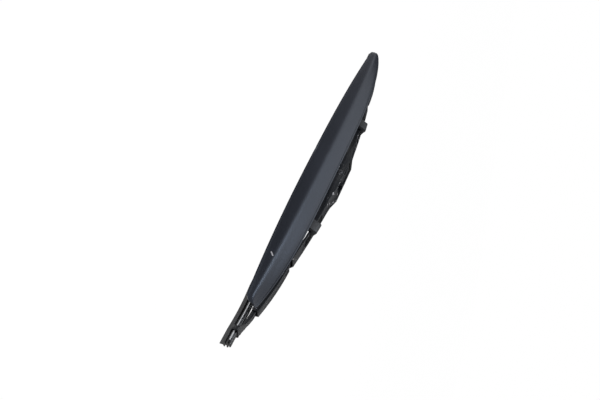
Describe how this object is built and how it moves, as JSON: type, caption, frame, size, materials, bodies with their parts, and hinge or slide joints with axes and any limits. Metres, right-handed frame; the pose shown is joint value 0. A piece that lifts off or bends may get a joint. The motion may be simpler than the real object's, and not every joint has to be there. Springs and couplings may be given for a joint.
{
  "type": "wiper blade",
  "caption": "Lever windscreen wiper blade: arched bridge, rocking levers and claws on a rubber with steel strips, and a wing-like spoiler along one side.",
  "frame": {"origin": "middle of the arm pin, where the arm's hook seats on the adapter", "axes": "+X along the blade towards its right end, the spoiler wing on the -Y side, +Z away from the glass"},
  "size_m": [0.5, 0.036, 0.0388],
  "materials": {
    "black_steel": "satin",
    "spoiler_plastic": "satin",
    "plastic": "matte",
    "rivet_steel": "satin",
    "strip_steel": "brushed",
    "rubber": "matte"
  },
  "bodies": {
    "adapter": {"arm_adapter": "plastic"},
    "bridge": {"main_bridge": "black_steel", "arm_pin": "rivet_steel", "spoiler": "spoiler_plastic", "right_main_rivet": "rivet_steel", "left_main_rivet": "rivet_steel", "right_main_liner": "plastic", "left_main_liner": "plastic", "wiper_rubber": "rubber", "front_strip": "strip_steel", "back_strip": "strip_steel"},
    "right_lever": {"right_secondary": "black_steel", "right_outer_yoke_rivet": "rivet_steel", "right_inner_yoke_rivet": "rivet_steel", "right_outer_yoke_liner": "plastic", "right_inner_yoke_liner": "plastic"},
    "left_lever": {"left_secondary": "black_steel", "left_outer_yoke_rivet": "rivet_steel", "left_inner_yoke_rivet": "rivet_steel", "left_outer_yoke_liner": "plastic", "left_inner_yoke_liner": "plastic"},
    "right_outer_yoke_body": {"right_outer_yoke": "black_steel"},
    "right_inner_yoke_body": {"right_inner_yoke": "black_steel"},
    "left_inner_yoke_body": {"left_inner_yoke": "black_steel"},
    "left_outer_yoke_body": {"left_outer_yoke": "black_steel"}
  },
  "joints": [
    {"name": "blade_rock", "type": "hinge", "parent": "adapter", "child": "bridge", "pos_m": [0, 0, 0], "axis": [0, 1, 0], "range_deg": [-15, 15]},
    {"name": "right_lever_rock", "type": "hinge", "parent": "bridge", "child": "right_lever", "pos_m": [0.141, 0, -0.0124], "axis": [0, 1, 0], "range_deg": [-6, 6], "stiffness_Nm_per_rad": 0.8, "deforming": ["wiper_rubber", "front_strip", "back_strip"]},
    {"name": "left_lever_rock", "type": "hinge", "parent": "bridge", "child": "left_lever", "pos_m": [-0.141, 0, -0.0124], "axis": [0, 1, 0], "range_deg": [-6, 6], "stiffness_Nm_per_rad": 0.8, "deforming": ["wiper_rubber", "front_strip", "back_strip"]},
    {"name": "right_outer_yoke_rock", "type": "hinge", "parent": "right_lever", "child": "right_outer_yoke_body", "pos_m": [0.206, 0, -0.0171], "axis": [0, 1, 0], "range_deg": [-9, 9], "stiffness_Nm_per_rad": 0.5, "deforming": ["wiper_rubber", "front_strip", "back_strip"]},
    {"name": "right_inner_yoke_rock", "type": "hinge", "parent": "right_lever", "child": "right_inner_yoke_body", "pos_m": [0.076, 0, -0.0171], "axis": [0, 1, 0], "range_deg": [-9, 9], "stiffness_Nm_per_rad": 0.5, "deforming": ["wiper_rubber", "front_strip", "back_strip"]},
    {"name": "left_inner_yoke_rock", "type": "hinge", "parent": "left_lever", "child": "left_inner_yoke_body", "pos_m": [-0.076, 0, -0.0171], "axis": [0, 1, 0], "range_deg": [-9, 9], "stiffness_Nm_per_rad": 0.5, "deforming": ["wiper_rubber", "front_strip", "back_strip"]},
    {"name": "left_outer_yoke_rock", "type": "hinge", "parent": "left_lever", "child": "left_outer_yoke_body", "pos_m": [-0.206, 0, -0.0171], "axis": [0, 1, 0], "range_deg": [-9, 9], "stiffness_Nm_per_rad": 0.5, "deforming": ["wiper_rubber", "front_strip", "back_strip"]}
  ]
}
